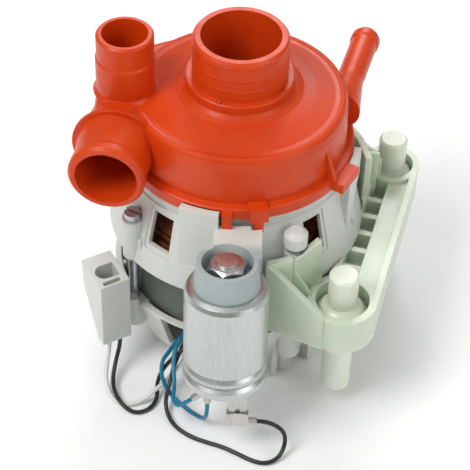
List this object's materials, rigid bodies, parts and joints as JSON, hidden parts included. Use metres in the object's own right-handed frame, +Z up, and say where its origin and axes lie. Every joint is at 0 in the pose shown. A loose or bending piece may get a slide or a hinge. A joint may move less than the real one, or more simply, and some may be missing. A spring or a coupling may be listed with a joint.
{
  "type": "circulation pump",
  "caption": "Dishwasher circulation pump: volute casing with inlet spout and outlets on an open induction motor, with run capacitor and a suspension bracket on pins.",
  "frame": {"origin": "on the shaft axis, at the hose stop where the inlet spout's sleeve ends", "axes": "+Z up the shaft and out of the inlet spout; -Y towards the run capacitor; +X towards the suspension bracket"},
  "size_m": [0.1379, 0.1416, 0.141],
  "materials": {
    "casing": "satin orange polypropylene",
    "plate": "off-white moulded plastic",
    "seal_rubber": "black rubber",
    "spring_steel": "bright spring steel",
    "carbon": "lapped carbon",
    "ceramic": "lapped ceramic",
    "impeller": "moulded plastic",
    "shaft_steel": "ground stainless steel",
    "lamination": "varnished electrical steel",
    "end_ring": "cast",
    "bush_bronze": "sintered bronze",
    "washer_plastic": "natural nylon",
    "copper": "enamelled copper wire",
    "bell": "off-white polyester moulding",
    "zinc_steel": "zinc plated steel",
    "can": "drawn aluminium, bare",
    "capacitor_base": "white moulded plastic",
    "tin_tabs": "tinned steel",
    "bracket": "pale green nylon",
    "pin": "pale natural nylon",
    "white_wire": "insulated lead",
    "black_wire": "insulated lead",
    "blue_wire": "insulated lead"
  },
  "bodies": {
    "pump_body": {"volute_casing": "casing", "seal_plate": "plate", "casing_o_ring": "seal_rubber", "seal_bellows": "seal_rubber", "seal_spring": "spring_steel", "seal_carbon_ring": "carbon", "upper_bush": "bush_bronze", "lower_bush": "bush_bronze", "upper_bush_clip": "spring_steel", "lower_bush_clip": "spring_steel", "thrust_washers": "washer_plastic", "stator_core": "lamination", "stator_coils": "copper", "stator_end_plates": "washer_plastic", "upper_bell": "bell", "lower_bell": "bell", "bell_screws": "zinc_steel", "capacitor_can": "can", "capacitor_base": "capacitor_base", "capacitor_washer": "zinc_steel", "capacitor_nut": "zinc_steel", "capacitor_tabs": "tin_tabs", "capacitor_clips": "tin_tabs", "suspension_bracket": "bracket", "lower_pin": "pin", "upper_pin": "pin", "plug_housing": "bell", "plug_contacts": "tin_tabs", "white_lead": "white_wire", "black_lead": "black_wire", "capacitor_lead": "black_wire", "blue_lead": "blue_wire", "second_blue_lead": "blue_wire"},
    "rotor": {"shaft": "shaft_steel", "impeller": "impeller", "seal_ceramic_ring": "ceramic", "seal_cup_rubber": "seal_rubber", "rotor_core": "lamination", "rotor_end_rings": "end_ring", "rotor_spacers": "washer_plastic"}
  },
  "joints": [
    {"name": "rotor_spin", "type": "hinge", "parent": "pump_body", "child": "rotor", "pos_m": [0, 0, -0.0334], "axis": [0, 0, 1], "continuous": true}
  ]
}
